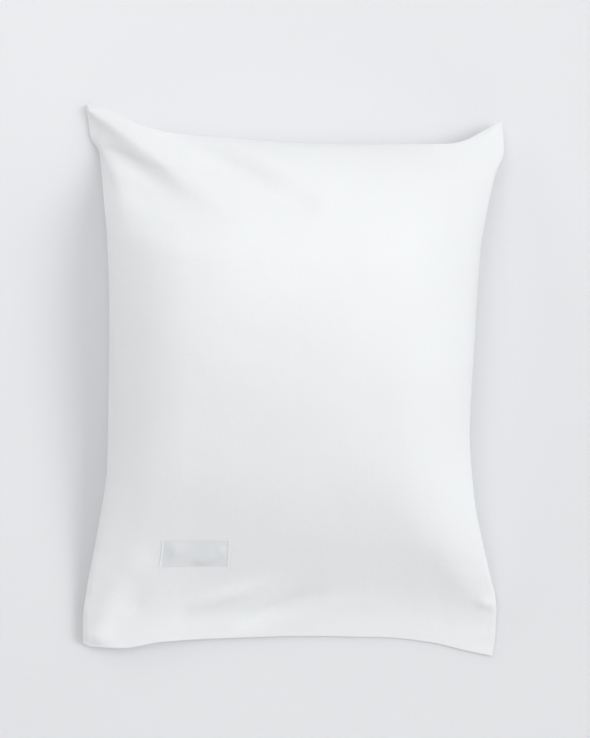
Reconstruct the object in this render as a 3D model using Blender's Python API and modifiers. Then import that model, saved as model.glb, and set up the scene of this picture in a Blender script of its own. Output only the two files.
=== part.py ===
"""A bed pillow in its cotton pillowcase, lying on its back, with a bare label sewn near the mouth.

Run it with blender --background --python part.py, or from Blender's text editor. Metres, +Z up.
The origin is the middle of the object's box, on the surface that the pillow lies on. +Y points away
from the mouth, the short open end through which the pillow goes in, and +X to the right.

The case is two cotton panels, 510 x 660 mm between the seams, closed on three sides. The cloth has two
coordinates, u across and v along, that run from -1 to 1 between the seams, and each point of a panel is
worked out from them. The seams are four curves, drawn in between the corners. The panels arch between
those curves as their slope tables say, and the fold table adds the creases that run from the corners.
"""

import bmesh
import bpy
import numpy as np
from mathutils.bvhtree import BVHTree

MM = 0.001

# The flat case, seam to seam.
CASE_WIDTH = 510 * MM
CASE_LENGTH = 660 * MM

# How high the front panel arches over its seams, and how far in from a seam the back panel lands.
CROWN = 74 * MM
FLANK = 92 * MM
MOUTH_FLANK = 46 * MM

# Vertices across and along each panel, and how much closer they stand at the seams (0 is even).
COLUMNS = 44
ROWS = 56
CROWDING = 0.62

# Where the corners of the filled case lie, in mm. The ears stand clear of the surface.
CORNERS = {
    # name: (x, y, z)
    "top_left": (-246, 329, 4),
    "top_right": (248, 309, 14),
    "mouth_left": (-249.5, -311, 20),
    "mouth_right": (238.5, -328.5, 4),
}

# The seams between their corners, in mm: how far each is drawn in from the straight line between its
# corners, and how high it lies. The top and the mouth run left to right, the sides from mouth to top.
SEAMS = {
    # (share of its length, drawn in, height)
    "top": (
        (0.04, 4, 13),
        (0.08, 12, 24),
        (0.14, 26, 42),
        (0.23, 36, 57),
        (0.52, 42, 62),
        (0.80, 37, 58),
        (0.87, 34, 48),
        (0.90, 30, 40),
        (0.95, 16, 25),
    ),
    "mouth": (
        (0.02, -4, 20),
        (0.09, -5, 17),
        (0.19, 4, 13),
        (0.25, 7, 10),
        (0.42, 13, 6),
        (0.53, 16, 5),
        (0.74, 18, 4),
        (0.85, 14, 4),
        (0.93, 6, 4),
    ),
    "left": (
        (0.04, 0, 22),
        (0.10, 5, 28),
        (0.20, 18, 43),
        (0.34, 32, 58),
        (0.60, 34, 61),
        (0.75, 30, 56),
        (0.81, 25, 43),
        (0.86, 20, 28),
        (0.915, 15, 14),
        (0.934, 6, 10),
        (0.97, 2, 6),
    ),
    "right": (
        (0.04, -3, 5),
        (0.08, -3, 10),
        (0.11, -1, 17),
        (0.16, 8, 30),
        (0.22, 18, 43),
        (0.30, 29, 51),
        (0.43, 36, 58),
        (0.57, 33, 61),
        (0.75, 27, 59),
        (0.82, 20, 55),
        (0.90, 8, 40),
        (0.94, -2, 28),
        (0.97, -2, 19),
    ),
}

# How steeply the front panel climbs along two lines of cloth through its middle: across it from left to
# right, and along it from the mouth to the top. The last stretch above the mouth is empty, and lies flatter.
ACROSS = (
    # (place on the cloth, degrees)
    (-1.00, 82),
    (-0.92, 62),
    (-0.84, 40),
    (-0.70, 25),
    (-0.50, 15),
    (-0.25, 7),
    (0.00, 0),
    (0.25, -7),
    (0.50, -14),
    (0.70, -23),
    (0.84, -36),
    (0.92, -58),
    (1.00, -82),
)
ALONG = (
    (-1.00, 3),
    (-0.92, 4),
    (-0.85, 9),
    (-0.78, 14),
    (-0.62, 17),
    (-0.45, 17),
    (-0.25, 14),
    (0.00, 9),
    (0.20, 4),
    (0.40, -4),
    (0.60, -12),
    (0.78, -26),
    (0.90, -48),
    (1.00, -80),
)

# How much squarer the arch is across, next to the mouth, and how far from the middle that starts.
SQUARER = 0.4
SQUARER_FROM = 0.7

# Soft ridges (raised above 0) and troughs (below 0) of the front panel, in mm. Each runs from its first end
# to its second, bowed to its left, and its width is where it has sunk to about a third of its height. One
# that leans to the left (1) or to the right (-1) is steep on that side and gentle on the other.
FOLDS = (
    # (name, x0, y0, x1, y1, bow, width0, width1, raised at the start, middle and end, lean)
    ("ear crest", -239, 321, -64, 181, 0, 10, 26, 9, 7, 3, -0.3),
    ("ear trough", -229, 284, -125, 206, 0, 9, 14, -5, -5, -1, 0),
    ("ear lobe", -225, 275, -180, 190, 4, 8, 22, 7, 7, 3, -0.3),
    ("top trough", -146, 287, 12, 202, 0, 9, 18, -2, -5, -3, 0),
    ("top crest", -109, 288, 33, 214, 4, 10, 19, 2, 4, 2, 0),
    ("right ear crest", 243, 299, 195, 239, 0, 10, 26, 3, 3, 1, 0),
    ("label crest", -127, -270, -21, -232, 0, 8, 12, 0, 7, 1, 0.3),
    ("mouth trough", -67, -295, 25, -254, 3, 7, 10, 0, -7, -2, 0),
    ("mouth facet", -35, -303, 84, -256, 4, 9, 13, 0, 2, 1, 0.2),
    ("left corner crest", -233, -300, -206, -243, 0, 13, 18, 5, 6, 4, 0.3),
    ("left side crest", -206, -243, -167, -172, 0, 18, 30, 1, 4, 0, 0.2),
    ("left corner trough", -195, -280, -177, -256, 0, 7, 9, -1, -3, -1, 0),
    ("right corner crest", 221, -262, 120, -120, 2, 16, 36, 2, 3, 2, 0.2),
    ("right corner tuck", 238, -267, 217, -262, 0, 5, 4, 4, 5, 0, 0.4),
)

# The two hems that lie on each other at the mouth, in mm outwards and upwards from the front panel's edge.
MOUTH_LIPS = (
    # (outwards, upwards)
    (0.6, -0.7),
    (-0.4, -1.3),
    (-9.0, -1.7),
    (-0.8, -2.2),
    (0.3, -2.8),
)
BACK_HEM = (-0.6, -3.6)
LIP_TAPER = 0.06

# The label: a woven strip sewn flat on the front panel, level with the mouth, in mm of cloth.
LABEL_WIDTH = 85 * MM
LABEL_HEIGHT = 34 * MM
LABEL_FROM_SIDE = 93 * MM
LABEL_FROM_MOUTH = 105 * MM
LABEL_THICKNESS = 1.0 * MM
LABEL_GAP = 0.4 * MM
LABEL_COLUMNS = 20
LABEL_ROWS = 10

# How far in from the seams the folds have their whole height.
SEAM_FADE = 9 * MM

# Steps along an arch, and the smallest step in the cloth's coordinates, which shows how a panel faces.
ARCH_STEPS = 401
NUDGE = 1e-3


def curve_through(at, values, where):
    """A smooth curve through the values, without overshoot, read at other places."""
    steps = np.diff(at)
    rises = np.diff(values) / steps
    middle = np.where(rises[:-1] * rises[1:] > 0, 2 * rises[:-1] * rises[1:], 0.0)
    middle = middle / np.where(middle == 0, 1.0, rises[:-1] + rises[1:])
    tangents = np.concatenate([rises[:1], middle, rises[-1:]])
    i = np.clip(np.searchsorted(at, where, side="right") - 1, 0, len(steps) - 1)
    t = (where - at[i]) / steps[i]
    start = values[i] + tangents[i] * steps[i] * t * (1 - t) ** 2
    return start + (3 - 2 * t) * t**2 * (values[i + 1] - values[i]) - (
        tangents[i + 1] * steps[i] * t**2 * (1 - t)
    )


def arched(slopes, where):
    """(place along the chord from -1 to 1, share of the arch's height) of points on a line of cloth."""
    cloth = np.linspace(-1, 1, ARCH_STEPS)
    slope = np.radians(curve_through(*np.array(slopes, float).T, cloth))
    forward = np.cumsum(np.cos(slope)) - np.cos(slope[0])
    upward = np.cumsum(np.sin(slope)) - np.sin(slope[0])
    upward -= upward[-1] * forward / forward[-1]
    place = np.interp(where, cloth, 2 * forward / forward[-1] - 1)
    return place, np.interp(where, cloth, upward / upward.max())


def seam(name, share):
    """Points of one seam, as an array of x, y, z in metres, at shares of its length from 0 to 1."""
    ends = {
        "top": ("top_left", "top_right", (0, -1)),
        "mouth": ("mouth_left", "mouth_right", (0, 1)),
        "left": ("mouth_left", "top_left", (1, 0)),
        "right": ("mouth_right", "top_right", (-1, 0)),
    }
    first, last, inwards = ends[name]
    first, last = np.array(CORNERS[first], float), np.array(CORNERS[last], float)
    at, drawn_in, height = np.array([(0, 0, first[2]), *SEAMS[name], (1, 0, last[2])], float).T
    points = first + np.multiply.outer(share, last - first)
    points[..., :2] += np.multiply.outer(curve_through(at, drawn_in, share), inwards)
    points[..., 2] = curve_through(at, height, share)
    return points * MM


def between_seams(across, along):
    """The smooth sheet that the four seams span, at shares from 0 to 1."""
    a, b = across[..., None], along[..., None]
    corners = {name: np.array(place, float) * MM for name, place in CORNERS.items()}
    up = (1 - b) * seam("mouth", across) + b * seam("top", across)
    over = (1 - a) * seam("left", along) + a * seam("right", along)
    both = (1 - a) * ((1 - b) * corners["mouth_left"] + b * corners["top_left"])
    both = both + a * ((1 - b) * corners["mouth_right"] + b * corners["top_right"])
    return up + over - both


def front_arch(u, v):
    """The front panel without its folds."""
    place_u, high_u = arched(ACROSS, u)
    place_v, high_v = arched(ALONG, v)
    across = (1 + u + (place_u - u) * high_v**2) / 2
    along = (1 + v + (place_v - v) * high_u**2) / 2
    points = between_seams(across, along)
    near_mouth = np.clip(-v / SQUARER_FROM, 0, 1) ** 2
    points[..., 2] += CROWN * high_v * np.clip(high_u, 0, 1) ** (1 - SQUARER * near_mouth)
    return points


def outward(surface, u, v):
    """Unit normals of a surface, on its upper side."""
    across = surface(u + NUDGE, v) - surface(u - NUDGE, v)
    along = surface(u, v + NUDGE) - surface(u, v - NUDGE)
    normals = np.cross(across, along)
    return normals / np.linalg.norm(normals, axis=-1, keepdims=True)


def seam_distance(u, v):
    """How far a point of the cloth lies from the nearest seam, in metres."""
    sides = (1 - np.abs(u)) * CASE_WIDTH / 2
    ends = (1 - np.abs(v)) * CASE_LENGTH / 2
    return np.minimum(sides, ends)


def fold_height(points):
    """How far the folds raise each point of the front panel, in metres."""
    raised = np.zeros(points.shape[:-1])
    plan = points[..., :2] / MM
    for _, x0, y0, x1, y1, bow, width0, width1, *heights, lean in FOLDS:
        start, way = np.array([x0, y0]), np.array([x1 - x0, y1 - y0])
        length = np.hypot(*way)
        run = (plan - start) @ way / length
        left = (plan - start) @ np.array([-way[1], way[0]]) / length
        share = np.clip(run / length, 0, 1)
        left = left - 4 * bow * share * (1 - share)
        width = (width0 + (width1 - width0) * share) * (1 - lean * np.sign(left))
        past = (run - share * length) / (width0 + (width1 - width0) * share)
        height = curve_through(np.array([0, 0.5, 1]), np.array(heights, float), share)
        raised += height * np.exp(-((left / width) ** 2) - past**2)
    return raised * MM


def front_panel(u, v):
    """The front panel: its arch, with the folds raised square to it. They die away at the seams."""
    inside = np.clip(seam_distance(u, v) / SEAM_FADE, 0, 1)
    points = front_arch(u, v)
    fade = inside * (2 - inside)
    return points + (fade * fold_height(points))[..., None] * outward(front_arch, u, v)


def back_panel(u, v):
    """The back panel: it drops from the seams in a quarter round and lies flat between them."""
    from_side = (1 - np.abs(u)) * CASE_WIDTH / 2 / FLANK
    from_end = (1 - np.abs(v)) * CASE_LENGTH / 2 / np.where(v < 0, MOUTH_FLANK, FLANK)
    landed_u = np.sqrt(1 - (1 - np.clip(from_side, 0, 1)) ** 2)
    landed_v = np.sqrt(1 - (1 - np.clip(from_end, 0, 1)) ** 2)
    points = between_seams((1 + u) / 2, (1 + v) / 2)
    points[..., 2] *= 1 - landed_u * landed_v
    return points


def split_corners(bm, panel):
    """Splits each corner's face from the corner inwards, so that the panels share only the seams."""
    corners = [vertex for vertex in panel if len(vertex.link_faces) == 1]
    for corner in corners:
        face = corner.link_faces[0]
        beside = [edge.other_vert(corner) for edge in corner.link_edges]
        opposite = [vertex for vertex in face.verts if vertex != corner and vertex not in beside]
        bmesh.utils.face_split(face, corner, opposite[0])


def crowded(even):
    """Evenly spaced coordinates from -1 to 1, moved closer together towards both ends."""
    return (1 - CROWDING) * even + CROWDING * np.sin(even * np.pi / 2)


def add_panel(bm, surface):
    """A grid of cloth laid on a surface. Returns its vertices and their cloth coordinates."""
    made = bmesh.ops.create_grid(bm, x_segments=COLUMNS, y_segments=ROWS, size=1)["verts"]
    flat = np.array([vertex.co for vertex in made])
    u, v = crowded(flat[:, 0]), crowded(flat[:, 1])
    for vertex, place in zip(made, surface(u, v)):
        vertex.co = place
    split_corners(bm, made)
    return made, u, v


def mouth_taper(u):
    """1 along the mouth and 0 at its two ends, where the side seams close it."""
    return np.sqrt(np.clip((1 - np.abs(u)) / LIP_TAPER, 0, 1))


def turn_in_mouth(bm, front, u, v):
    """Extrudes the front panel's mouth edge round the front hem, into the mouth and out over the back hem."""
    at_mouth = {vertex: across for vertex, across, along in zip(front, u, v) if along < -1 + 1e-6}
    edges = [edge for edge in bm.edges if all(vertex in at_mouth for vertex in edge.verts)]
    start = {vertex: (vertex.co.copy(), across) for vertex, across in at_mouth.items()}
    for outwards, upwards in MOUTH_LIPS + (BACK_HEM,):
        made = bmesh.ops.extrude_edge_only(bm, edges=edges)["geom"]
        edges = [item for item in made if isinstance(item, bmesh.types.BMEdge)]
        row = [item for item in made if isinstance(item, bmesh.types.BMVert)]
        nearest = {}
        for vertex in row:
            old = min(start, key=lambda other: abs(other.co.x - vertex.co.x))
            nearest[vertex] = start[old]
        start = nearest
        for vertex, (edge, across) in nearest.items():
            share = float(mouth_taper(across))
            vertex.co.y = edge.y - outwards * MM * share
            vertex.co.z = edge.z + upwards * MM * share


def drop_back_hem(back, u, v):
    """Moves the back panel's last rows down to the back hem, and fades that out over its flank."""
    outwards, upwards = BACK_HEM
    for vertex, across, along in zip(back, u, v):
        near = max(0.0, 1 - (1 + along) * CASE_LENGTH / 2 / MOUTH_FLANK)
        share = float(mouth_taper(across)) * near**2
        vertex.co.y -= outwards * MM * share
        vertex.co.z = max(0.0, vertex.co.z + upwards * MM * share)


def finish(bm, name, material, parts):
    """Turns the bmesh into a smooth-shaded object in the parts' collection."""
    bmesh.ops.recalc_face_normals(bm, faces=bm.faces)
    mesh = bpy.data.meshes.new(name)
    bm.to_mesh(mesh)
    bm.free()
    mesh.materials.append(material)
    mesh.shade_smooth()
    made = bpy.data.objects.new(name, mesh)
    parts.objects.link(made)
    return made


def cloth_material(name, colour, roughness):
    material = bpy.data.materials.new(name)
    material.use_nodes = True
    shader = material.node_tree.nodes["Principled BSDF"]
    shader.inputs["Base Color"].default_value = (*colour, 1)
    shader.inputs["Roughness"].default_value = roughness
    shader.inputs["Metallic"].default_value = 0
    return material


def make_pillowcase(parts):
    """Two grids of cloth, welded along the seams, with the mouth's two hems turned in between them."""
    bm = bmesh.new()
    front, u, v = add_panel(bm, front_panel)
    turn_in_mouth(bm, front, u, v)
    back, u, v = add_panel(bm, back_panel)
    drop_back_hem(back, u, v)
    bmesh.ops.remove_doubles(bm, verts=bm.verts, dist=0.02 * MM)
    cloth = BVHTree.FromBMesh(bm)
    finish(bm, "pillowcase", cloth_material("white sateen cotton", (0.84, 0.85, 0.86), 0.6), parts)
    return cloth


def make_label(parts, cloth):
    """A strip of woven tape that follows the front panel, a hair above it."""
    bm = bmesh.new()
    made = bmesh.ops.create_grid(bm, x_segments=LABEL_COLUMNS, y_segments=LABEL_ROWS, size=1)["verts"]
    flat = np.array([vertex.co for vertex in made])
    middle_u = -1 + (LABEL_FROM_SIDE + LABEL_WIDTH / 2) / (CASE_WIDTH / 2)
    middle_v = -1 + (LABEL_FROM_MOUTH + LABEL_HEIGHT / 2) / (CASE_LENGTH / 2)
    u = middle_u + flat[:, 0] * LABEL_WIDTH / CASE_WIDTH
    v = middle_v + flat[:, 1] * LABEL_HEIGHT / CASE_LENGTH
    for vertex, place in zip(made, front_panel(u, v)):
        under, normal, _, _ = cloth.find_nearest(place)
        vertex.co = under + normal * LABEL_GAP
    label = finish(bm, "label", cloth_material("white satin tape", (0.80, 0.81, 0.82), 0.45), parts)
    thickness = label.modifiers.new("thickness", "SOLIDIFY")
    thickness.thickness = LABEL_THICKNESS
    thickness.offset = 1
    return label


def main():
    for old in list(bpy.data.objects):
        bpy.data.objects.remove(old)
    parts = bpy.data.collections.new("pillowcase")
    bpy.context.scene.collection.children.link(parts)
    cloth = make_pillowcase(parts)
    make_label(parts, cloth)


main()
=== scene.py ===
# %% [markdown]
# # A bed pillow in its cotton pillowcase
#
# The real object is two panels of white cotton sateen, 510 x 660 mm, sewn together along three sides, turned
# the right way out and filled with a pillow. It lies on its back. This lesson makes its looks: the fine
# shape of the cloth, the hems at the open end, a small woven label, the finishes, the light and the camera.
#
# They are the frame that everything here has to fit: the new cloth lies where they lie, and it hides them.
# All lengths are metres, with +Z up and +Y away from the mouth, which is the open short end.

import bpy
import numpy as np
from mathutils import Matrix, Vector
from mathutils.bvhtree import BVHTree


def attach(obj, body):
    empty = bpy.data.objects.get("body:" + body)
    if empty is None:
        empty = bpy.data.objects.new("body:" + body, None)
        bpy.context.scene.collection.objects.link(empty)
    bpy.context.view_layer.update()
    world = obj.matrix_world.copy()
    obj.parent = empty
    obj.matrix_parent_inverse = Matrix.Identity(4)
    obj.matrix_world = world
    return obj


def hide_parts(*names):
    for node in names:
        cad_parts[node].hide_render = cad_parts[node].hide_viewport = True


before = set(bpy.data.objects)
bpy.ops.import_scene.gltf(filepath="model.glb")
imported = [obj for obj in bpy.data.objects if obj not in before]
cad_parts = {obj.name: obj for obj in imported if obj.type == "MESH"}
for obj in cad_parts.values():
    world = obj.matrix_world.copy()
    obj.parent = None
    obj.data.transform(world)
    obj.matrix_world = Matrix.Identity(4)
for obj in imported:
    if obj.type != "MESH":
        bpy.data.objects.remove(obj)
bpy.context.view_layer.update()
MM = 0.001

# %% [markdown]
# ## The camera
#
# It looks straight down from 2.4 m above the height of the seams, a little off the pillow's centre. A near
# camera with a wide lens could take in as much, but then the crown would look too large for the outline:
# from this far both keep their true proportions. The lens follows from how much of the surface the picture
# takes in.

# %% Camera
PICTURE_PX = (590, 738)
MM_PER_PIXEL = 1.17
CAMERA_HEIGHT = 2.45
CAMERA_DISTANCE = 2.4  # to the seams, where the scale of the picture holds
CAMERA_X, CAMERA_Y = 2.7 * MM, 13.7 * MM
SENSOR_MM = 36

bpy.ops.object.camera_add(location=(CAMERA_X, CAMERA_Y, CAMERA_HEIGHT), rotation=(0, 0, 0))
camera = bpy.context.object
camera.name = "camera"
camera.data.sensor_fit = "AUTO"
camera.data.sensor_width = SENSOR_MM
camera.data.lens = SENSOR_MM * CAMERA_DISTANCE / (max(PICTURE_PX) * MM_PER_PIXEL * MM)
camera.data.clip_start, camera.data.clip_end = 0.05, 50
bpy.context.scene.camera = camera
print("lens:", round(camera.data.lens, 2), "mm")

# %% [markdown]
# ## How the cloth is described
#
# Cloth hardly stretches, so every point of a panel keeps its place on the flat pattern. That place has two
# numbers: u runs across from -1 to 1, and v along from the mouth at -1 to the closed end at 1. A filled
# case could be sculpted by hand, but then nothing would keep the cloth near its true size. Instead four seam
# curves hold the edges, and slope tables say how the cloth climbs between them. That keeps its length within
# a tenth of the flat panel's across, and within a twentieth along.

# %% The seams
CASE_WIDTH = 510 * MM
CASE_LENGTH = 660 * MM
CORNERS = {
    # name: (x, y, z) in mm; the ears stand clear of the surface
    "top_left": (-246, 329, 4),
    "top_right": (248, 309, 14),
    "mouth_left": (-249.5, -311, 14),
    "mouth_right": (238.5, -328.5, 4),
}
SEAMS = {
    # (share of its length, drawn in, height), in mm
    "top": (
        (0.04, 4, 13),
        (0.08, 12, 24),
        (0.14, 26, 39),
        (0.23, 36, 51),
        (0.36, 40, 59),
        (0.52, 42, 62),
        (0.80, 37, 58),
        (0.87, 34, 48),
        (0.90, 30, 40),
        (0.95, 16, 25),
    ),
    "mouth": (
        (0.02, -4, 15),
        (0.09, -5, 14),
        (0.19, 4, 13),
        (0.25, 7, 10),
        (0.42, 13, 6),
        (0.53, 16, 5),
        (0.74, 18, 4),
        (0.85, 14, 4),
        (0.93, 6, 4),
    ),
    "left": (
        (0.04, 0, 15),
        (0.10, 5, 20),
        (0.20, 18, 36),
        (0.34, 32, 55),
        (0.60, 34, 61),
        (0.75, 30, 54),
        (0.81, 25, 38),
        (0.86, 20, 15),
        (0.915, 15, 5),
        (0.934, 6, 4),
        (0.97, 2, 3),
    ),
    "right": (
        (0.04, -3, 5),
        (0.08, -3, 10),
        (0.11, -1, 17),
        (0.16, 8, 30),
        (0.22, 18, 43),
        (0.30, 29, 51),
        (0.43, 36, 58),
        (0.57, 33, 61),
        (0.75, 27, 59),
        (0.82, 20, 55),
        (0.90, 8, 40),
        (0.94, -2, 28),
        (0.97, -2, 19),
    ),
}


def curve_through(at, values, where):
    """A smooth curve through the values, without overshoot, read at other places."""
    steps = np.diff(at)
    rises = np.diff(values) / steps
    middle = np.where(rises[:-1] * rises[1:] > 0, 2 * rises[:-1] * rises[1:], 0.0)
    middle = middle / np.where(middle == 0, 1.0, rises[:-1] + rises[1:])
    tangents = np.concatenate([rises[:1], middle, rises[-1:]])
    i = np.clip(np.searchsorted(at, where, side="right") - 1, 0, len(steps) - 1)
    t = (where - at[i]) / steps[i]
    start = values[i] + tangents[i] * steps[i] * t * (1 - t) ** 2
    return start + (3 - 2 * t) * t**2 * (values[i + 1] - values[i]) - (
        tangents[i + 1] * steps[i] * t**2 * (1 - t)
    )


def seam(name, share):
    """Points of one seam in metres, at shares of its length from 0 to 1."""
    ends = {
        "top": ("top_left", "top_right", (0, -1)),
        "mouth": ("mouth_left", "mouth_right", (0, 1)),
        "left": ("mouth_left", "top_left", (1, 0)),
        "right": ("mouth_right", "top_right", (-1, 0)),
    }
    first, last, inwards = ends[name]
    first, last = np.array(CORNERS[first], float), np.array(CORNERS[last], float)
    at, drawn_in, height = np.array([(0, 0, first[2]), *SEAMS[name], (1, 0, last[2])], float).T
    points = first + np.multiply.outer(share, last - first)
    points[..., :2] += np.multiply.outer(curve_through(at, drawn_in, share), inwards)
    points[..., 2] = curve_through(at, height, share)
    return points * MM


def between_seams(across, along):
    """The smooth sheet that the four seams span, at shares from 0 to 1."""
    a, b = across[..., None], along[..., None]
    corners = {name: np.array(place, float) * MM for name, place in CORNERS.items()}
    up = (1 - b) * seam("mouth", across) + b * seam("top", across)
    over = (1 - a) * seam("left", along) + a * seam("right", along)
    both = (1 - a) * ((1 - b) * corners["mouth_left"] + b * corners["top_left"])
    both = both + a * ((1 - b) * corners["mouth_right"] + b * corners["top_right"])
    return up + over - both


for name in SEAMS:
    line = seam(name, np.linspace(0, 1, 400))
    print(f"{name} seam: {np.linalg.norm(np.diff(line, axis=0), axis=1).sum():.3f} m long")

# %% [markdown]
# ## The crown
#
# A filled case is steep at its seams and almost level in the middle, and its last hand's breadth above the
# mouth is empty. A scaled sphere would give neither. Two tables hold how steeply the cloth climbs across
# the middle and along it. Walking along the cloth and adding up its slope gives its height and its place.
# Near the mouth the filling ends in a broad, blunt edge, so the arch across is squarer there.

# %% The crown
CROWN = 74 * MM
ARCH_STEPS = 401
ACROSS = (
    # (place on the cloth, degrees)
    (-1.00, 82),
    (-0.92, 62),
    (-0.84, 40),
    (-0.70, 25),
    (-0.50, 15),
    (-0.25, 7),
    (0.00, 0),
    (0.25, -7),
    (0.50, -14),
    (0.70, -23),
    (0.84, -36),
    (0.92, -58),
    (1.00, -82),
)
ALONG = (
    (-1.00, 3),
    (-0.92, 4),
    (-0.85, 9),
    (-0.78, 14),
    (-0.62, 17),
    (-0.45, 17),
    (-0.25, 14),
    (0.00, 9),
    (0.20, 4),
    (0.40, -4),
    (0.60, -12),
    (0.78, -26),
    (0.90, -48),
    (1.00, -80),
)
SQUARER = 0.4  # how much blunter the arch across is at the mouth
SQUARER_FROM = 0.7  # all of that from v = -0.7 to the mouth, and none of it past the middle
NUDGE = 1e-3


def arched(slopes, where):
    """(place along the chord from -1 to 1, share of the arch's height) of points on a line of cloth."""
    cloth = np.linspace(-1, 1, ARCH_STEPS)
    slope = np.radians(curve_through(*np.array(slopes, float).T, cloth))
    forward = np.cumsum(np.cos(slope)) - np.cos(slope[0])
    upward = np.cumsum(np.sin(slope)) - np.sin(slope[0])
    upward -= upward[-1] * forward / forward[-1]
    place = np.interp(where, cloth, 2 * forward / forward[-1] - 1)
    return place, np.interp(where, cloth, upward / upward.max())


def front_arch(u, v):
    """The front panel without its folds."""
    place_u, high_u = arched(ACROSS, u)
    place_v, high_v = arched(ALONG, v)
    across = (1 + u + (place_u - u) * high_v**2) / 2
    along = (1 + v + (place_v - v) * high_u**2) / 2
    points = between_seams(across, along)
    near_mouth = np.clip(-v / SQUARER_FROM, 0, 1) ** 2
    points[..., 2] += CROWN * high_v * np.clip(high_u, 0, 1) ** (1 - SQUARER * near_mouth)
    return points


def outward(surface, u, v):
    """Unit normals of a surface, on its upper side."""
    across = surface(u + NUDGE, v) - surface(u - NUDGE, v)
    along = surface(u, v + NUDGE) - surface(u, v - NUDGE)
    normals = np.cross(across, along)
    return normals / np.linalg.norm(normals, axis=-1, keepdims=True)


spine = front_arch(np.zeros(ARCH_STEPS), np.linspace(-1, 1, ARCH_STEPS))
print("the crown stands", round(float(spine[:, 2].max()), 3), "m high")

# %% [markdown]
# ## Folds, puckers and the seams' welts
#
# The filling ends short of the corners, so the cloth there folds in on itself, and those folds run on
# towards the middle until the filling smooths them out. Each fold is a line with a width at both ends, and
# a height at its start, middle and end. Noise could make folds too, but never in the right places. A sewn
# seam adds two finer things: the thread draws it up a little, which puckers the cloth next to it, and the
# turned edges inside lie under the panel as a low welt.

# %% Folds
FOLDS = (
    # (name, x0, y0, x1, y1, bow, width0, width1, raised at the start, middle and end, lean, sharp), in mm
    ("ear crest", -239, 321, -64, 181, 0, 10, 26, 9, 7, 2, -0.3, 0.6),
    ("ear trough", -229, 284, -125, 206, 0, 9, 14, -3, -4, -1, 0, 0.2),
    ("ear lobe", -226, 278, -196, 200, 6, 8, 20, 7, 7, 3, -0.3, 0.4),
    ("top trough", -146, 287, 12, 202, 0, 8, 15, -3, -7, -4, 0, 0),
    ("top crest", -109, 288, 33, 214, 4, 10, 19, 3, 6, 3, 0, 0),
    ("right ear crest", 243, 299, 195, 239, 0, 10, 26, 3, 3, 1, 0, 0),
    ("label crest", -127, -270, -21, -232, 0, 8, 12, 0, 7, 1, 0.3, 0.3),
    ("mouth trough", -67, -295, 25, -254, 3, 7, 10, 0, -7, -2, 0, 0.2),
    ("mouth facet", -35, -303, 84, -256, 4, 9, 13, 0, 2, 1, 0.2, 0.2),
    ("left corner crest", -229, -300, -207, -245, 0, 14, 18, 8, 9, 5, -0.2, 0),
    ("left side crest", -206, -243, -172, -196, 0, 17, 20, 2, 4, 0, 0.2, 0),
    ("left corner trough", -195, -280, -177, -256, 0, 7, 9, -1, -3, -1, 0, 0),
    ("right corner crest", 221, -262, 85, -75, 2, 16, 52, 2, 3, 0, 0.2, 0.1),
    ("right corner tuck", 238, -267, 217, -262, 0, 5, 4, 4, 5, 0, 0.4, 0.3),
)
SEAM_FADE = 9 * MM
CREST_FALL = 1.5
CREST_ROUND = 0.04


def seam_distance(u, v):
    """How far a point of the cloth lies from the nearest seam, in metres."""
    sides = (1 - np.abs(u)) * CASE_WIDTH / 2
    ends = (1 - np.abs(v)) * CASE_LENGTH / 2
    return np.minimum(sides, ends)


def ridge(x, sharp):
    """The height of a fold's section at x widths from its line: a bell, or with a sharper crest."""
    bell = np.exp(-(x**2))
    crest = np.exp(-CREST_FALL * (np.sqrt(x**2 + CREST_ROUND) - np.sqrt(CREST_ROUND)))
    return (1 - sharp) * bell + sharp * crest


def fold_height(points):
    """How far the folds raise each point of the front panel, in metres."""
    raised = np.zeros(points.shape[:-1])
    plan = points[..., :2] / MM
    for _, x0, y0, x1, y1, bow, width0, width1, *heights, lean, sharp in FOLDS:
        start, way = np.array([x0, y0]), np.array([x1 - x0, y1 - y0])
        length = np.hypot(*way)
        run = (plan - start) @ way / length
        left = (plan - start) @ np.array([-way[1], way[0]]) / length
        share = np.clip(run / length, 0, 1)
        left = left - 4 * bow * share * (1 - share)
        width = (width0 + (width1 - width0) * share) * (1 - lean * np.sign(left))
        past = (run - share * length) / (width0 + (width1 - width0) * share)
        height = curve_through(np.array([0, 0.5, 1]), np.array(heights, float), share)
        raised += height * ridge(left / width, sharp) * np.exp(-(past**2))
    return raised * MM


folded = fold_height(front_arch(*np.meshgrid(np.linspace(-1, 1, 99), np.linspace(-1, 1, 99)))) / MM
print(len(FOLDS), f"folds, from {folded.min():.1f} mm below the arch to {folded.max():.1f} mm above it")

# %% Puckers and welts
PUCKER_WAVES = 7
PUCKER_LENGTHS = (16 * MM, 46 * MM)
PUCKER_HEIGHT = 0.55 * MM
PUCKER_REACH = 16 * MM
WELT_WIDTH = 8 * MM
WELT_HEIGHT = 0.25 * MM
WELT_STEP = 1.2 * MM
SEAM_GROOVE = 0.2 * MM
GROOVE_WIDTH = 1.0 * MM


def ripple(along, seed):
    """A run of uneven waves, from -1 to 1 or so, at distances along a seam in metres."""
    draw = np.random.default_rng(seed)
    lengths = draw.uniform(*PUCKER_LENGTHS, PUCKER_WAVES)
    turns = draw.uniform(0, 2 * np.pi, PUCKER_WAVES)
    waves = np.sin(2 * np.pi * np.multiply.outer(along, 1 / lengths) + turns)
    return waves.sum(-1) / np.sqrt(PUCKER_WAVES)


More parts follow.
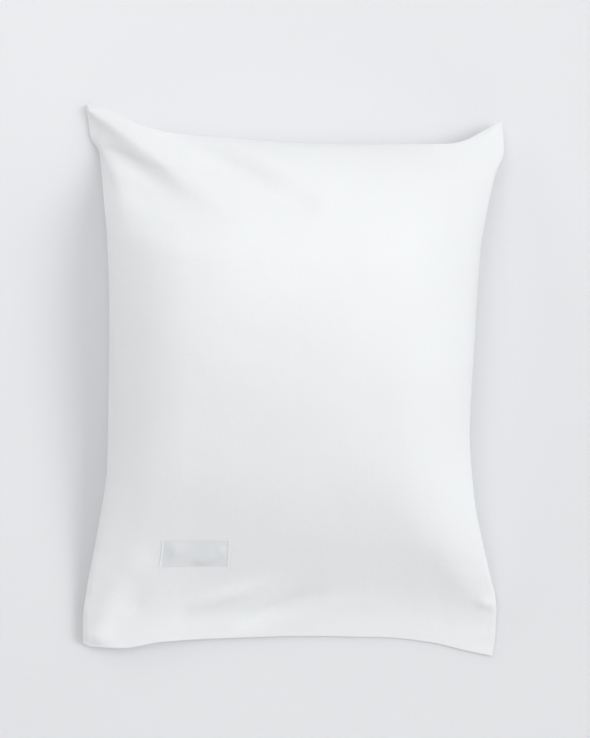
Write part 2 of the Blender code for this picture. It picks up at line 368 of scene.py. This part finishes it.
def puckers(u, v):
    """How far the seams' puckers raise the cloth, in metres. Both panels take the same at a seam."""
    x, y = u * CASE_WIDTH / 2, v * CASE_LENGTH / 2
    seams = (
        # (distance from the seam, place along it, seed)
        ((1 + u) * CASE_WIDTH / 2, y, 1),
        ((1 - u) * CASE_WIDTH / 2, y, 2),
        ((1 - v) * CASE_LENGTH / 2, x, 3),
    )
    return PUCKER_HEIGHT * sum(ripple(at, seed) * np.exp(-d / PUCKER_REACH) for d, at, seed in seams)


def welt(u, v):
    """The low step over the turned edges inside a seam, and the groove of the seam itself, in metres."""
    sides = (1 - np.abs(u)) * CASE_WIDTH / 2
    top = (1 - v) * CASE_LENGTH / 2
    d = np.minimum(sides, top)
    step = 0.5 * (1 - np.tanh((d - WELT_WIDTH) / WELT_STEP))
    return WELT_HEIGHT * step - SEAM_GROOVE * np.exp(-((d / GROOVE_WIDTH) ** 2))


at_seam = puckers(np.linspace(-1, 1, 99), np.ones(99)) / MM
print(f"puckers at the closed end: from {at_seam.min():.1f} to {at_seam.max():.1f} mm")


# %% The front panel
def front_panel(u, v):
    """The front panel: its arch, with the folds and the welts raised square to it, and the puckers."""
    inside = np.clip(seam_distance(u, v) / SEAM_FADE, 0, 1)
    points = front_arch(u, v)
    fade = inside * (2 - inside)
    raised = fade * fold_height(points) + welt(u, v)
    points = points + raised[..., None] * outward(front_arch, u, v)
    points[..., 2] += puckers(u, v)
    return points


front_edge = front_panel(np.linspace(-1, 1, 99), -np.ones(99))
print(f"the front hem is {front_edge[:, 2].min() / MM:.1f} to {front_edge[:, 2].max() / MM:.1f} mm up")

# %% The back panel
FLANK = 92 * MM
MOUTH_FLANK = 46 * MM


def back_panel(u, v):
    """The back panel: it drops from the seams in a quarter round and lies flat between them."""
    from_side = (1 - np.abs(u)) * CASE_WIDTH / 2 / FLANK
    from_end = (1 - np.abs(v)) * CASE_LENGTH / 2 / np.where(v < 0, MOUTH_FLANK, FLANK)
    landed_u = np.sqrt(1 - (1 - np.clip(from_side, 0, 1)) ** 2)
    landed_v = np.sqrt(1 - (1 - np.clip(from_end, 0, 1)) ** 2)
    points = between_seams((1 + u) / 2, (1 + v) / 2)
    points[..., 2] += puckers(u, v) + welt(u, v)
    points[..., 2] *= 1 - landed_u * landed_v
    return points


# %% [markdown]
# ## The mouth
#
# The open end is closed only by the two hems lying on each other. Each hem is the panel's own cloth, turned
# in and sewn down, so it is three layers thick and has a round edge. The section below runs round the
# front hem, back into the dark of the mouth, and out again over the back hem, which is drawn back a little.
# The gap between the hems is uneven, because nothing holds it shut.

# %% The mouth's section
HEM_SECTION = (
    # (outwards, upwards) from the front panel's edge, in mm
    (0.0, 0.0),
    (0.5, -0.3),
    (0.6, -0.8),
    (0.4, -1.2),
    (-0.6, -1.4),
    (-6.0, -1.5),
    (-14.0, -1.6),
    (-24.0, -1.8),
    (-14.0, -2.0),
    (-6.0, -2.1),
    (-0.8, -2.2),
    (0.2, -2.4),
    (0.4, -2.8),
    (0.1, -3.3),
    (-0.6, -3.6),
)
LIP_TAPER = 0.06
GAP_SWING = 0.35
GAP_STRETCH = 3  # the gap's waves are this many times longer than the puckers'
GAP_SEED = 5
BACK_HEM_REACH = MOUTH_FLANK


def mouth_taper(u):
    """1 along the mouth and 0 at its two ends, where the side seams close it."""
    return np.sqrt(np.clip((1 - np.abs(u)) / LIP_TAPER, 0, 1))


def mouth_offset(u, step):
    """How far the section has moved outwards and upwards, in metres, at a step from 0 to 1 round the hems."""
    outwards, upwards = np.array(HEM_SECTION).T * MM
    at = np.linspace(0, 1, len(HEM_SECTION))
    swing = 1 + GAP_SWING * ripple(u * CASE_WIDTH / 2 / GAP_STRETCH, GAP_SEED)
    share = mouth_taper(u)
    return np.interp(step, at, outwards) * share, np.interp(step, at, upwards) * share * swing


def mouth_panel(u, w):
    """The cloth between the two panels' mouth edges, from the front edge at w = 1 to the back one at -1."""
    points = front_panel(u, np.full_like(u, -1.0))
    outwards, upwards = mouth_offset(u, (1 - w) / 2)
    points[..., 1] -= outwards
    points[..., 2] = np.maximum(points[..., 2] + upwards, 0)
    return points


def back_with_hem(u, v):
    """The back panel, its last rows lowered to the back hem, which fades out over its flank."""
    points = back_panel(u, v)
    near = np.clip(1 - (1 + v) * CASE_LENGTH / 2 / BACK_HEM_REACH, 0, 1) ** 2
    outwards, upwards = mouth_offset(u, np.ones_like(u))
    points[..., 1] -= outwards * near
    points[..., 2] = np.maximum(points[..., 2] + upwards * near, 0)
    return points


# %% [markdown]
# ## Sewing the case
#
# Three flat grids are laid out, one for each panel and one for the cloth inside the mouth, and each vertex is
# moved to its place on the surface. The rows stand close together next to the seams, where the form is
# finest, and further apart in the middle. Then the grids are joined, and merging their doubled edges sews
# them. The alternative, one box that is subdivided, would have no flat pattern for the weave to follow.

# %% Helpers for meshes
FIRST_STEP = 0.9 * MM
STEP_GROWTH = 1.2
WIDEST_STEP = 6.4 * MM
MERGE = 0.02 * MM


def stations(length):
    """Places from -1 to 1 along a line of cloth of that length, closest together at both ends."""
    steps = [FIRST_STEP]
    while sum(steps) < length / 2:
        steps.append(min(steps[-1] * STEP_GROWTH, WIDEST_STEP))
    from_end = np.concatenate([[0], np.cumsum(steps)]) / sum(steps)
    return np.concatenate([from_end - 1, 1 - from_end[-2::-1]])


def coordinates(thing):
    """All the vertices of an object's mesh, as an array of x, y, z."""
    flat = np.zeros(len(thing.data.vertices) * 3)
    thing.data.vertices.foreach_get("co", flat)
    return flat.reshape(-1, 3)


def place_vertices(thing, points):
    """Moves all the vertices of an object's mesh to these points."""
    thing.data.vertices.foreach_set("co", np.asarray(points, float).ravel())
    thing.data.update()


def edit(thing):
    """Opens one object in edit mode, with nothing selected in it."""
    bpy.ops.object.select_all(action="DESELECT")
    thing.select_set(True)
    bpy.context.view_layer.objects.active = thing
    bpy.ops.object.mode_set(mode="EDIT")
    bpy.ops.mesh.select_mode(type="VERT")
    bpy.ops.mesh.select_all(action="DESELECT")


def laid_grid(name, across, along, surface, corner, pattern_size):
    """A grid laid on a surface. Its UV map holds its place on the flat pattern, in metres."""
    bpy.ops.object.select_all(action="DESELECT")
    bpy.ops.mesh.primitive_grid_add(x_subdivisions=len(across) - 1, y_subdivisions=len(along) - 1, size=2)
    grid = bpy.context.object
    grid.name = name
    even = coordinates(grid)
    u = np.interp(even[:, 0], np.linspace(-1, 1, len(across)), across)
    v = np.interp(even[:, 1], np.linspace(-1, 1, len(along)), along)
    place_vertices(grid, surface(u, v))
    corners = np.zeros(len(grid.data.loops), int)
    grid.data.loops.foreach_get("vertex_index", corners)
    pattern = np.array(corner) + (np.stack([u, v], 1)[corners] + 1) / 2 * np.array(pattern_size)
    grid.data.uv_layers.active.name = "cloth"
    grid.data.uv_layers["cloth"].data.foreach_set("uv", pattern.ravel())
    return grid


# %% Cut the three pieces of cloth
columns, rows = stations(CASE_WIDTH), stations(CASE_LENGTH)
hem_steps = np.linspace(-1, 1, len(HEM_SECTION))
PATTERN_GAP = 40 * MM
TURNED_IN = 60 * MM

front = laid_grid("case", columns, rows, front_panel, (0, 0), (CASE_WIDTH, CASE_LENGTH))
beside = (CASE_WIDTH + PATTERN_GAP, 0)
back = laid_grid("back", columns, rows, back_with_hem, beside, (CASE_WIDTH, CASE_LENGTH))
mouth = laid_grid("mouth", columns, hem_steps, mouth_panel, (0, -TURNED_IN), (CASE_WIDTH, TURNED_IN))
print("rows and columns of a panel:", len(rows), len(columns))


# %% Sew them together
def connect_corners(panel):
    """Splits each corner's face from the corner inwards, so that the panels share nothing but the seam."""
    edit(panel)
    bpy.ops.object.mode_set(mode="OBJECT")
    count = len(columns)
    last = len(rows) - 1
    ends = ((0, 0, 1, 1), (count - 1, 0, -1, 1), (0, last, 1, -1), (count - 1, last, -1, -1))
    for column, row, right, up in ends:
        for vertex in panel.data.vertices:
            vertex.select = False
        panel.data.vertices[row * count + column].select = True
        panel.data.vertices[(row + up) * count + column + right].select = True
        bpy.ops.object.mode_set(mode="EDIT")
        bpy.ops.mesh.vert_connect()
        bpy.ops.object.mode_set(mode="OBJECT")


def sew(pieces):
    """Joins the pieces into the first, merges their doubled edges and turns the faces outwards."""
    bpy.ops.object.select_all(action="DESELECT")
    for piece in pieces:
        piece.select_set(True)
    bpy.context.view_layer.objects.active = pieces[0]
    bpy.ops.object.join()
    edit(pieces[0])
    bpy.ops.mesh.select_all(action="SELECT")
    bpy.ops.mesh.remove_doubles(threshold=MERGE)
    bpy.ops.mesh.normals_make_consistent(inside=False)
    bpy.ops.object.mode_set(mode="OBJECT")
    bpy.ops.object.shade_smooth()
    return pieces[0]


connect_corners(front)
connect_corners(back)
case = sew([front, back, mouth])
print("sewn case:", len(case.data.vertices), "vertices,", len(case.data.polygons), "faces")


def apply_modifier(thing, name):
    """Makes what a modifier does a part of the mesh."""
    bpy.ops.object.select_all(action="DESELECT")
    thing.select_set(True)
    bpy.context.view_layer.objects.active = thing
    bpy.ops.object.modifier_apply(modifier=name)


# %% [markdown]
# ## Let the cloth settle
#
# So far the case is only where the tables put it. A cloth simulation lets it give way to its filling. The
# pillow's push is a pressure from inside, and gravity stays off, because the filling carries the cloth. The
# cloth bends far less easily than one layer of cotton does, because the filling backs it. The back, which
# lies on the surface, and the seams, corners and hems are held, and no point may move further than 2 mm, so
# that the case keeps its outline.
#
# With more spare length the cloth would make folds of its own, but they buckle where the held part ends,
# and a full pillow is smooth there. So it gets almost none, and moves by tenths of a millimetre. The step
# could be left out with no difference that shows: the tables above make the shape and folds that can be seen.

# %% Cloth simulation
SETTLE_FRAMES = 20
PUSH = 4.0
SPARE_CLOTH = 0.0004  # the cloth may grow by this share of its length
CLOTH_MASS = 0.3
STRETCH_STIFFNESS = 15
SHEAR_STIFFNESS = 5
BENDING_STIFFNESS = 12
HELD_HEIGHT = 1.5 * MM
HELD_NEAR = (
    # (from what, held up to, free from), in mm
    ("seam", 7, 90),
    ("mouth", 110, 360),
    ("corner", 80, 260),
)
FURTHEST_MOVE = 2 * MM
SETTLE_STEPS = 7


def pattern_places(thing):
    """Each vertex's place on the flat pattern, in metres, from its UV map."""
    corners = np.zeros(len(thing.data.loops), int)
    thing.data.loops.foreach_get("vertex_index", corners)
    pattern = np.zeros(len(corners) * 2)
    thing.data.uv_layers["cloth"].data.foreach_get("uv", pattern)
    places = np.zeros((len(thing.data.vertices), 2))
    places[corners] = pattern.reshape(-1, 2)
    return places


def hold(thing):
    """A vertex group of how firmly each vertex is held: 1 where it can't move, down to 0."""
    places = pattern_places(thing)
    across = np.where(places[:, 0] > CASE_WIDTH, places[:, 0] - CASE_WIDTH - PATTERN_GAP, places[:, 0])
    u, v = 2 * across / CASE_WIDTH - 1, 2 * places[:, 1] / CASE_LENGTH - 1
    v = np.clip(v, -1, 1)
    from_side, from_end = (1 - np.abs(u)) * CASE_WIDTH / 2, (1 - np.abs(v)) * CASE_LENGTH / 2
    distances = {
        "seam": seam_distance(u, v),
        "mouth": (1 + v) * CASE_LENGTH / 2,
        "corner": np.hypot(from_side, from_end),
    }
    firm = np.zeros(len(u))
    for name, held, free in HELD_NEAR:
        firm = np.maximum(firm, 1 - np.clip((distances[name] / MM - held) / (free - held), 0, 1))
    firm = np.where((coordinates(thing)[:, 2] < HELD_HEIGHT) | (places[:, 1] < 0), 1.0, firm)
    group = thing.vertex_groups.new(name="held")
    for index, weight in enumerate(firm):
        group.add([index], float(weight), "REPLACE")
    return 1 - firm


def settle(thing):
    """Lets the cloth move under the push of its filling, caps how far, and gives the distances in metres."""
    start = coordinates(thing)
    free = hold(thing)
    cloth = thing.modifiers.new("settle", "CLOTH")
    cloth.settings.quality = SETTLE_STEPS
    cloth.settings.mass = CLOTH_MASS
    cloth.settings.tension_stiffness = cloth.settings.compression_stiffness = STRETCH_STIFFNESS
    cloth.settings.shear_stiffness = SHEAR_STIFFNESS
    cloth.settings.bending_stiffness = BENDING_STIFFNESS
    cloth.settings.shrink_min = -SPARE_CLOTH
    cloth.settings.use_pressure = True
    cloth.settings.uniform_pressure_force = PUSH
    cloth.settings.effector_weights.gravity = 0
    cloth.settings.vertex_group_mass = "held"
    cloth.settings.pin_stiffness = 1
    cloth.collision_settings.use_collision = False
    cloth.point_cache.frame_start, cloth.point_cache.frame_end = 1, SETTLE_FRAMES
    for frame_number in range(1, SETTLE_FRAMES + 1):
        bpy.context.scene.frame_set(frame_number)
    apply_modifier(thing, "settle")
    bpy.context.scene.frame_set(1)
    moved = coordinates(thing) - start
    length = np.linalg.norm(moved, axis=1)
    share = np.tanh(length / FURTHEST_MOVE) * FURTHEST_MOVE / np.maximum(length, 1e-9) * free
    place_vertices(thing, start + moved * share[:, None])
    thing.vertex_groups.remove(thing.vertex_groups["held"])
    return length


lengths = settle(case) / MM
print(f"before the cap, the cloth moved {lengths.mean():.2f} mm, and {lengths.max():.1f} mm at most")

# %% Round the cloth
rounder = case.modifiers.new("round", "SUBSURF")
rounder.levels = rounder.render_levels = 1
apply_modifier(case, "round")
triangles = sum(len(face.vertices) - 2 for face in case.data.polygons)
print("rounded case:", triangles, "triangles")

# %% [markdown]
# ## The label
#
# A strip of satin tape, 88 x 35 mm, is sewn to the front panel, a little askew, with its two short ends
# turned under. It is a thin sheet, so it follows the case below it, a hair above the cloth. It could be cut
# out of the panel itself, but then it would have no edge and no thickness to catch the light. The turned
# ends are thicker, and the tape between them is buckled a little, because the cloth under it has moved
# since it was sewn.

# %% The label's place
LABEL_WIDTH = 88 * MM
LABEL_HEIGHT = 35 * MM
LABEL_FROM_SIDE = 89 * MM
LABEL_FROM_MOUTH = 97 * MM
LABEL_TURN = -2  # degrees
label_middle = np.array(
    [
        -1 + (LABEL_FROM_SIDE + LABEL_WIDTH / 2) / (CASE_WIDTH / 2),
        -1 + (LABEL_FROM_MOUTH + LABEL_HEIGHT / 2) / (CASE_LENGTH / 2),
    ]
)
cloth_tree = BVHTree.FromPolygons(
    [vertex.co for vertex in case.data.vertices], [face.vertices for face in case.data.polygons]
)
print("the label's middle on the panel:", label_middle.round(3))

# %% How the tape lies
LABEL_GAP = 0.12 * MM
LEAST_LIFT = LABEL_GAP * 0.6
TURNED_END = 2.2 * MM
TURNED_LIFT = 0.45 * MM
TURNED_STEP = 0.8 * MM
HELD_BY_ENDS = 8 * MM
HELD_BY_SIDES = 5 * MM
SIDE_PLAY = 0.25  # the share of a buckle that is left at the tape's long sides
TAPE_BUCKLES = (
    # (across and up from the tape's middle, reach across and up, raised), in mm
    (-27, 5, 8, 10, 1.6),
    (-15, 5, 12, 10, 0.8),
    (10, -9, 10, 7, 2.2),
    (22, -3, 10, 7, 2.4),
    (33, 4, 8, 7, 2.0),
)


def on_cloth(u, v, lift):
    """Points that stand off the finished cloth by a lift in metres, at places on the front panel."""
    placed = []
    for place, height in zip(front_panel(u, v), np.broadcast_to(lift, u.shape)):
        under, normal, _, _ = cloth_tree.find_nearest(Vector(place))
        placed.append(under + normal * float(height))
    return np.array(placed)


def tape_lift(x, y):
    """How far the tape stands off the cloth at x, y in metres from its middle."""
    from_end = LABEL_WIDTH / 2 - np.abs(x)
    from_side = LABEL_HEIGHT / 2 - np.abs(y)
    lift = LABEL_GAP + TURNED_LIFT * 0.5 * (1 - np.tanh((from_end - TURNED_END) / TURNED_STEP))
    loose = np.clip(from_end / HELD_BY_ENDS, 0, 1) * np.clip(from_side / HELD_BY_SIDES, SIDE_PLAY, 1)
    for middle_x, middle_y, reach_x, reach_y, raised in TAPE_BUCKLES:
        away = ((x / MM - middle_x) / reach_x) ** 2 + ((y / MM - middle_y) / reach_y) ** 2
        lift = lift + loose * raised * MM * np.exp(-away)
    return np.maximum(lift, LEAST_LIFT)


def tape_surface(u, v):
    """The tape's under side, at places from -1 to 1 across it and up it."""
    x, y = u * LABEL_WIDTH / 2, v * LABEL_HEIGHT / 2
    turn = np.radians(LABEL_TURN)
    over, up = x * np.cos(turn) - y * np.sin(turn), x * np.sin(turn) + y * np.cos(turn)
    on_panel = label_middle[0] + 2 * over / CASE_WIDTH, label_middle[1] + 2 * up / CASE_LENGTH
    return on_cloth(*on_panel, tape_lift(x, y))


# %% Make the label
TAPE_STEPS = (120, 40)
TAPE_THICKNESS = 0.2 * MM
TAPE_EDGE_ANGLE = 50  # degrees; sharper edges than this stay crisp
label = laid_grid(
    "label_tape",
    np.linspace(-1, 1, TAPE_STEPS[0]),
    np.linspace(-1, 1, TAPE_STEPS[1]),
    tape_surface,
    (0, 0),
    (LABEL_WIDTH, LABEL_HEIGHT),
)
bpy.ops.object.shade_smooth()
thicken = label.modifiers.new("thickness", "SOLIDIFY")
thicken.thickness = TAPE_THICKNESS
thicken.offset = 1
apply_modifier(label, "thickness")
bpy.ops.object.shade_smooth_by_angle(angle=np.radians(TAPE_EDGE_ANGLE))
print("label:", len(label.data.polygons), "faces")

# %% [markdown]
# ## Finishes
#
# One function turns a hex colour into the linear numbers that a shader wants, and one adds a node. Every
# pattern is worked out from a size in millimetres and lies on the flat pattern of the cloth, which the UV
# map holds in metres, so that it follows the threads round every fold. A picture of cloth could be wrapped
# on instead, but it would blur when seen from near.

# %% Node helpers
WAVES_PER_UNIT = 10 / np.pi  # what a wave texture of scale 1 draws along its direction
MIX_A, MIX_B, MIX_COLOUR = 6, 7, 2  # a colour mix node has its colours at these sockets


def linear(colour):
    """A shader's linear colour from an sRGB hex colour."""
    parts = [int(colour[i : i + 2], 16) / 255 for i in (1, 3, 5)]
    return tuple(x / 12.92 if x <= 0.04045 else ((x + 0.055) / 1.055) ** 2.4 for x in parts) + (1.0,)


def add_node(tree, kind, settings=None, values=None, links=None):
    """Adds a node, sets its options and its sockets' constants, and links other nodes' sockets to it."""
    node = tree.nodes.new(kind)
    for name, value in (settings or {}).items():
        setattr(node, name, value)
    for name, value in (values or {}).items():
        node.inputs[name].default_value = value
    for name, socket in (links or {}).items():
        tree.links.new(socket, node.inputs[name])
    return node


def new_material(name, constants):
    """A node material whose shader has these constants, with its node tree and shader."""
    made = bpy.data.materials.new(name)
    made.use_nodes = True
    shader = made.node_tree.nodes["Principled BSDF"]
    for socket, value in constants.items():
        shader.inputs[socket].default_value = value
    return made, made.node_tree, shader


def relief(tree, shader, layers):
    """Bumps a shader by layers of (texture socket, height in mm)."""
    total = None
    for texture, height in layers:
        total = add_node(
            tree,
            "ShaderNodeMath",
            {"operation": "MULTIPLY_ADD"},
            {1: height, 2: 0.0},
            {0: texture} if total is None else {0: texture, 2: total.outputs[0]},
        )
    bump = add_node(tree, "ShaderNodeBump", None, {"Distance": MM}, {"Height": total.outputs[0]})
    tree.links.new(bump.outputs["Normal"], shader.inputs["Normal"])


def wear(thing, material):
    """Gives an object this material alone."""
    thing.data.materials.clear()
    thing.data.materials.append(material)


# %% [markdown]
# ### The case: cotton sateen
#
# White cotton sateen is bleached cotton yarn in a satin weave. Long floats on the face give the eye a soft,
# milky sheen with no hard highlight. The yarn is spun, so it is a little thick and thin along its length,
# which shows as faint streaks. Pressed cloth also keeps a very low crumple.

# %% Cotton sateen
THREAD_PITCH = 1.6 * MM  # real threads lie 0.25 mm apart, too fine to show, so these are drawn coarser
SLUB_SIZE = (2 * MM, 45 * MM)
CRUMPLE_SIZE = 26 * MM
SHADE_SIZE = 120 * MM
HEM_DEPTH = 38 * MM
STITCH_PITCH = 2.8 * MM
STITCH_WIDTH = 0.9 * MM
WEAVE_RELIEF, SLUB_RELIEF, CRUMPLE_RELIEF = 0.05, 0.05, 0.6  # in mm, as all reliefs are
ROW_RELIEF, STITCH_RELIEF = -0.1, 0.15

cotton, tree, shader = new_material(
    "white cotton sateen, woven",
    {"IOR": 1.5, "Specular IOR Level": 0.3, "Sheen Weight": 0.2, "Sheen Roughness": 0.4},
)
flat = add_node(tree, "ShaderNodeUVMap", {"uv_map": "cloth"}).outputs["UV"]
threads = [
    add_node(
        tree,
        "ShaderNodeTexWave",
        {"wave_type": "BANDS", "bands_direction": direction},
        {"Scale": 1 / THREAD_PITCH / WAVES_PER_UNIT, "Distortion": 0.4, "Detail": 0.0},
        {"Vector": flat},
    ).outputs["Fac"]
    for direction in ("X", "Y")
]
weave = add_node(
    tree, "ShaderNodeMath", {"operation": "MULTIPLY"}, None, {0: threads[0], 1: threads[1]}
).outputs[0]
streaks = []
for size in (SLUB_SIZE, SLUB_SIZE[::-1]):
    stretched = add_node(
        tree, "ShaderNodeMapping", None, {"Scale": (1 / size[0], 1 / size[1], 1)}, {"Vector": flat}
    ).outputs["Vector"]
    streak = add_node(
        tree, "ShaderNodeTexNoise", None, {"Scale": 1.0, "Detail": 1.0}, {"Vector": stretched}
    ).outputs["Fac"]
    streaks.append(streak)
slubs = add_node(
    tree, "ShaderNodeMath", {"operation": "ADD"}, None, {0: streaks[0], 1: streaks[1]}
).outputs[0]
crumple, shade = [
    add_node(
        tree, "ShaderNodeTexNoise", None, {"Scale": 1 / size, "Detail": 2.0}, {"Vector": flat}
    ).outputs["Fac"]
    for size in (CRUMPLE_SIZE, SHADE_SIZE)
]

# %% Its hem's row of stitches
place = add_node(tree, "ShaderNodeSeparateXYZ", None, None, {"Vector": flat}).outputs
on_row = add_node(
    tree, "ShaderNodeMath", {"operation": "COMPARE"}, {1: HEM_DEPTH, 2: STITCH_WIDTH / 2}, {0: place["Y"]}
).outputs[0]
dashes = add_node(
    tree,
    "ShaderNodeTexWave",
    {"wave_type": "BANDS", "bands_direction": "X"},
    {"Scale": 1 / STITCH_PITCH / WAVES_PER_UNIT},
    {"Vector": flat},
).outputs["Fac"]
stitches = add_node(
    tree, "ShaderNodeMath", {"operation": "MULTIPLY"}, None, {0: on_row, 1: dashes}
).outputs[0]
woven = (weave, WEAVE_RELIEF), (slubs, SLUB_RELIEF), (crumple, CRUMPLE_RELIEF)
relief(tree, shader, (*woven, (on_row, ROW_RELIEF), (stitches, STITCH_RELIEF)))
print("hem stitches:", round(CASE_WIDTH / STITCH_PITCH), "across a panel")

# %% Its colour and roughness
COTTON_WHITES = "#EDEEEF", "#F2F4F5"
SLUB_RANGE = 0.6, 1.4  # what the two layers of streaks add up to
COTTON_ROUGHNESS = 0.56, 0.68

tone = add_node(
    tree,
    "ShaderNodeMix",
    {"data_type": "RGBA"},
    {MIX_A: linear(COTTON_WHITES[0]), MIX_B: linear(COTTON_WHITES[1])},
    {0: shade},
).outputs[MIX_COLOUR]
tree.links.new(tone, shader.inputs["Base Color"])
sheen = add_node(
    tree,
    "ShaderNodeMapRange",
    None,
    {
        "From Min": SLUB_RANGE[0],
        "From Max": SLUB_RANGE[1],
        "To Min": COTTON_ROUGHNESS[0],
        "To Max": COTTON_ROUGHNESS[1],
    },
    {"Value": slubs},
).outputs["Result"]
tree.links.new(sheen, shader.inputs["Roughness"])
wear(case, cotton)
print(cotton.name + ":", len(tree.nodes), "nodes")

# %% [markdown]
# ### The label: satin tape
#
# White polyester satin tape is woven with fine ribs. It is smoother than the case and a shade greyer. Its
# two ends are whiter: the tape lies double there, and on top a painted highlight stands for the light
# that the turned edges catch. Each end is held by a row of stitches.

# %% Satin tape
RIB_PITCH = 1.5 * MM  # real ribs lie 0.3 mm apart, too fine to show, so these are drawn coarser
# the whiter band at each end: the doubled tape, with a painted highlight for the light on its turned edge
END_HIGHLIGHT_WIDTH = 2.4 * MM
END_STITCHES = 3 * MM
RIB_RELIEF, END_ROW_RELIEF, END_STITCH_RELIEF = 0.03, -0.15, 0.2
# the second white is the ends': the doubled tape's white, brightened by a painted highlight
TAPE_WHITE_AND_END_HIGHLIGHT = "#E6E8EA", "#FAFBFC"
TAPE_ROUGHNESS = 0.36, 0.46

tape, tree, shader = new_material(
    "white polyester satin tape, woven", {"IOR": 1.55, "Specular IOR Level": 0.45, "Sheen Weight": 0.1}
)
flat = add_node(tree, "ShaderNodeUVMap", {"uv_map": "cloth"}).outputs["UV"]
ribs, end_dashes = [
    add_node(
        tree,
        "ShaderNodeTexWave",
        {"wave_type": "BANDS", "bands_direction": direction},
        {"Scale": 1 / pitch / WAVES_PER_UNIT},
        {"Vector": flat},
    ).outputs["Fac"]
    for direction, pitch in (("X", RIB_PITCH), ("Y", STITCH_PITCH))
]
place = add_node(tree, "ShaderNodeSeparateXYZ", None, None, {"Vector": flat}).outputs
from_middle = add_node(
    tree, "ShaderNodeMath", {"operation": "SUBTRACT"}, {1: LABEL_WIDTH / 2}, {0: place["X"]}
).outputs[0]
along_tape = add_node(tree, "ShaderNodeMath", {"operation": "ABSOLUTE"}, None, {0: from_middle}).outputs[0]
# a mask of the whiter ends, which mixes a painted highlight into the tape's colour
ends = add_node(
    tree,
    "ShaderNodeMapRange",
    {"interpolation_type": "SMOOTHSTEP"},
    {"From Min": LABEL_WIDTH / 2 - END_HIGHLIGHT_WIDTH, "From Max": LABEL_WIDTH / 2},
    {"Value": along_tape},
).outputs["Result"]
end_row = add_node(
    tree,
    "ShaderNodeMath",
    {"operation": "COMPARE"},
    {1: LABEL_WIDTH / 2 - END_STITCHES, 2: STITCH_WIDTH / 2},
    {0: along_tape},
).outputs[0]
end_stitches = add_node(
    tree, "ShaderNodeMath", {"operation": "MULTIPLY"}, None, {0: end_row, 1: end_dashes}
).outputs[0]
sewn_end = (end_row, END_ROW_RELIEF), (end_stitches, END_STITCH_RELIEF)
relief(tree, shader, ((ribs, RIB_RELIEF), *sewn_end))
tone = add_node(
    tree,
    "ShaderNodeMix",
    {"data_type": "RGBA"},
    {MIX_A: linear(TAPE_WHITE_AND_END_HIGHLIGHT[0]), MIX_B: linear(TAPE_WHITE_AND_END_HIGHLIGHT[1])},
    {0: ends},
).outputs[MIX_COLOUR]
tree.links.new(tone, shader.inputs["Base Color"])
gloss = add_node(
    tree,
    "ShaderNodeMapRange",
    None,
    {"To Min": TAPE_ROUGHNESS[0], "To Max": TAPE_ROUGHNESS[1]},
    {"Value": ribs},
).outputs["Result"]
tree.links.new(gloss, shader.inputs["Roughness"])
wear(label, tape)
print(tape.name + ":", len(tree.nodes), "nodes")

# %% [markdown]
# ## What stands for what
#
# The fine cloth replaces the plain solid of the case, and the tape replaces the plain label.

# %% Ride and replace
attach(case, "root")
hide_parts("pillowcase")
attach(label, "root")
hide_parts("label")
print("replaced:", case.name, "and", label.name)

# %% [markdown]
# ## Floor, light and tone
#
# A wide pale floor under an even, dim sky. The strongest light is one large window to the right, at a
# middle height and well away, so that the floor is as bright on its near side as on its far side. Five
# weaker lamps stand round it: two open up the right flank, two keep the left and the near side from going
# dark, and one overhead softens the shadows at the far end. One lamp alone would draw every fold, but would
# leave the left side black.

# %% Floor
FLOOR_SIZE = 60
FLOOR_DROP = 0.3 * MM  # so that the floor and the case's back never share a plane
PEEL_SIZE = 5 * MM
PEEL_RELIEF = 0.03
PAINT_ROUGHNESS = 0.85, 0.95

bpy.ops.object.select_all(action="DESELECT")
bpy.ops.mesh.primitive_plane_add(size=FLOOR_SIZE, location=(0, 0, -FLOOR_DROP))
floor = bpy.context.object
floor.name = "floor"
paint, tree, shader = new_material(
    "matt white paint, rolled", {"Base Color": linear("#E8E9EB"), "Specular IOR Level": 0.1}
)
place = add_node(tree, "ShaderNodeTexCoord").outputs["Object"]
peel = add_node(
    tree, "ShaderNodeTexNoise", None, {"Scale": 1 / PEEL_SIZE, "Detail": 1.0}, {"Vector": place}
).outputs["Fac"]
relief(tree, shader, ((peel, PEEL_RELIEF),))
flatness = add_node(
    tree,
    "ShaderNodeMapRange",
    None,
    {"To Min": PAINT_ROUGHNESS[0], "To Max": PAINT_ROUGHNESS[1]},
    {"Value": peel},
).outputs["Result"]
tree.links.new(flatness, shader.inputs["Roughness"])
wear(floor, paint)
print("floor:", FLOOR_SIZE, "m across")

# %% Light
SKY_COLOUR = "#FDFEFF"
SKY_STRENGTH = 0.43
LAMPS = (
    # (name, degrees round from +X, degrees up, distance in m, size in m, watts)
    ("window", 2, 50, 9.0, 4.5, 240),
    ("low right fill", -15, 36, 9.0, 4.5, 84),
    ("far right fill", 60, 22, 9.0, 4.5, 46),
    ("low left fill", 140, 22, 3.0, 1.5, 13),
    ("near fill", 270, 25, 3.0, 1.5, 6),
    ("overhead fill", 112, 66, 2.2, 1.5, 11),
)

world = bpy.data.worlds.new("soft sky")
bpy.context.scene.world = world
world.use_nodes = True
world.node_tree.nodes["Background"].inputs["Color"].default_value = linear(SKY_COLOUR)
world.node_tree.nodes["Background"].inputs["Strength"].default_value = SKY_STRENGTH


def add_lamp(name, turn, up, distance, size, watts):
    """A round soft lamp that faces the middle of the pillow and hides from the camera."""
    turn, up = np.radians(turn), np.radians(up)
    towards = Vector((np.cos(up) * np.cos(turn), np.cos(up) * np.sin(turn), np.sin(up)))
    bpy.ops.object.light_add(type="AREA", location=towards * distance)
    lamp = bpy.context.object
    lamp.name = name
    lamp.rotation_euler = towards.to_track_quat("Z", "Y").to_euler()
    lamp.data.shape = "DISK"
    lamp.data.size = size
    lamp.data.energy = watts
    lamp.visible_camera = False


for settings in LAMPS:
    add_lamp(*settings)
print("lamps:", [settings[0] for settings in LAMPS])

bpy.context.scene.view_settings.view_transform = "Standard"
bpy.context.scene.view_settings.look = "None"
